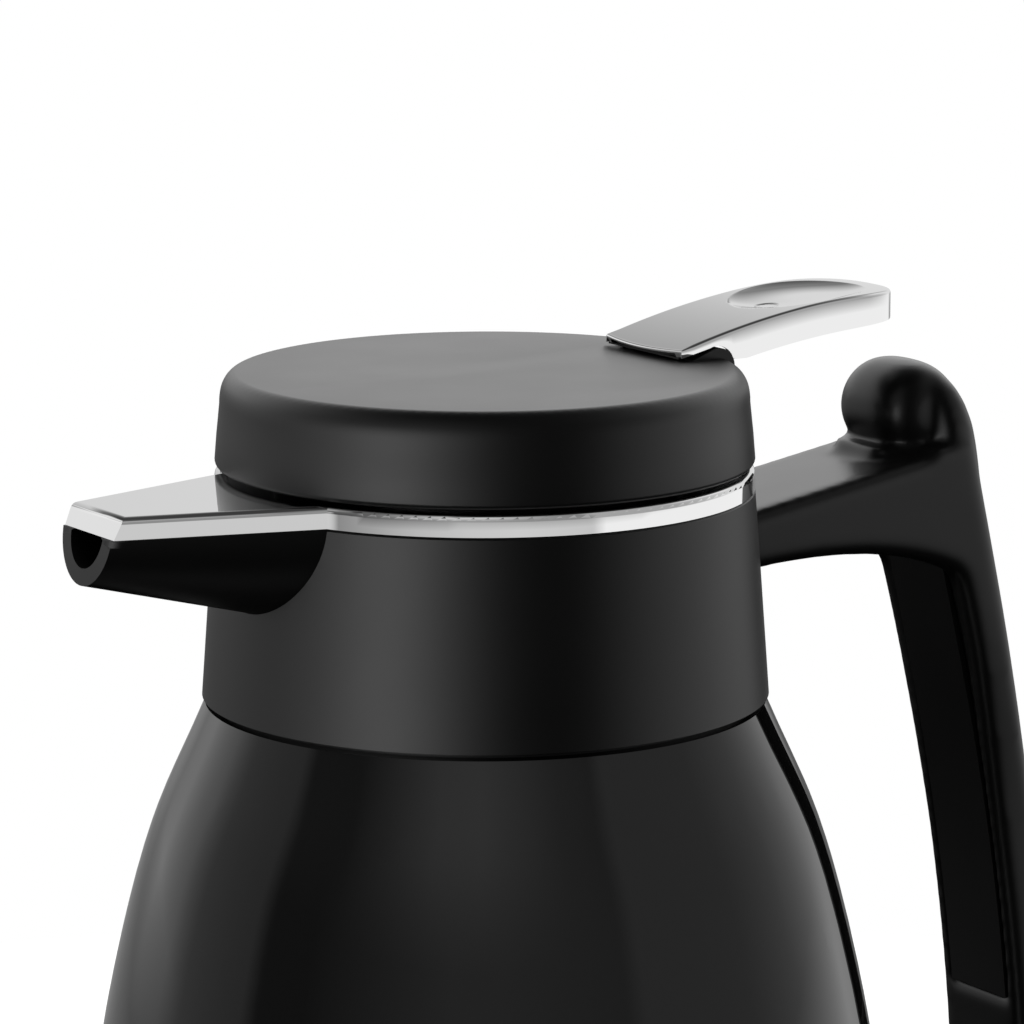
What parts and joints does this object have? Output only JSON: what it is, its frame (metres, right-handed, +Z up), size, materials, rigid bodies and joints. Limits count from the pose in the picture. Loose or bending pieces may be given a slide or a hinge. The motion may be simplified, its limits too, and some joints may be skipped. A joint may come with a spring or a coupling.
{
  "type": "thermal carafe",
  "caption": "Vacuum jug with a pouring spout, loop handle, and a screw stopper under a round lid whose thumb lever lifts a sprung valve.",
  "frame": {"origin": "centre of the face that the jug stands on", "axes": "+Z up along the jug's axis, +X towards the handle, spout towards -X"},
  "size_m": [0.204, 0.144, 0.2243],
  "materials": {
    "shell_lacquer": "glossy black lacquer over a moulded shell",
    "matte_black": "fine matte moulded polypropylene",
    "black_plastic": "satin moulded polypropylene",
    "chrome": "polished chrome plating on plastic",
    "silvered_glass": "silvered double glass",
    "seal_rubber": "food grade silicone",
    "foot_rubber": "soft black elastomer",
    "screw_steel": "plain stainless steel"
  },
  "bodies": {
    "carafe": {"body_shell": "shell_lacquer", "base_cap": "black_plastic", "foot_ring": "foot_rubber", "glass_liner": "silvered_glass", "liner_cushion": "foot_rubber", "neck_gasket": "seal_rubber", "collar": "matte_black", "collar_screws": "screw_steel", "spout_beak": "matte_black", "trim_ring": "chrome", "handle_shell": "matte_black", "handle_cover": "matte_black", "handle_screws": "screw_steel", "handle_washers": "screw_steel"},
    "seal": {"stopper_gasket": "seal_rubber"},
    "closure": {"stopper_body": "black_plastic", "rim_seal": "seal_rubber", "guide_plate": "black_plastic", "stem_seal": "seal_rubber", "lid_base": "black_plastic", "lid_base_screws": "screw_steel", "lid_cap": "matte_black", "hinge_bracket": "matte_black", "bracket_screws": "screw_steel", "hinge_pin": "screw_steel"},
    "lever": {"lever_cap": "chrome", "lever_arm": "matte_black"},
    "valve": {"valve_plug": "black_plastic", "valve_seal": "seal_rubber", "valve_stem": "black_plastic", "return_spring": "screw_steel"}
  },
  "joints": [
    {"name": "closure_lift", "type": "slide", "parent": "carafe", "child": "seal", "axis": [0, 0, 1], "range_m": [0, 0.056]},
    {"name": "closure_turn", "type": "hinge", "parent": "seal", "child": "closure", "pos_m": [0, 0, 0.2], "axis": [0, 0, 1], "range_deg": [0, 1440]},
    {"name": "lever_press", "type": "hinge", "parent": "closure", "child": "lever", "pos_m": [0.041, 0, 0.2136], "axis": [0, 1, 0], "range_deg": [0, 10], "stiffness_Nm_per_rad": 0.6, "springref_deg": -5.73},
    {"name": "valve_lift", "type": "slide", "parent": "closure", "child": "valve", "axis": [0, 0, 1], "range_m": [0, 0.0073], "deforming": ["return_spring"]}
  ],
  "couplings": [
    {"joint": "closure_turn", "follows": "closure_lift", "rad_per_m": 448.8},
    {"joint": "lever_press", "follows": "valve_lift", "rad_per_m": 23.866}
  ]
}
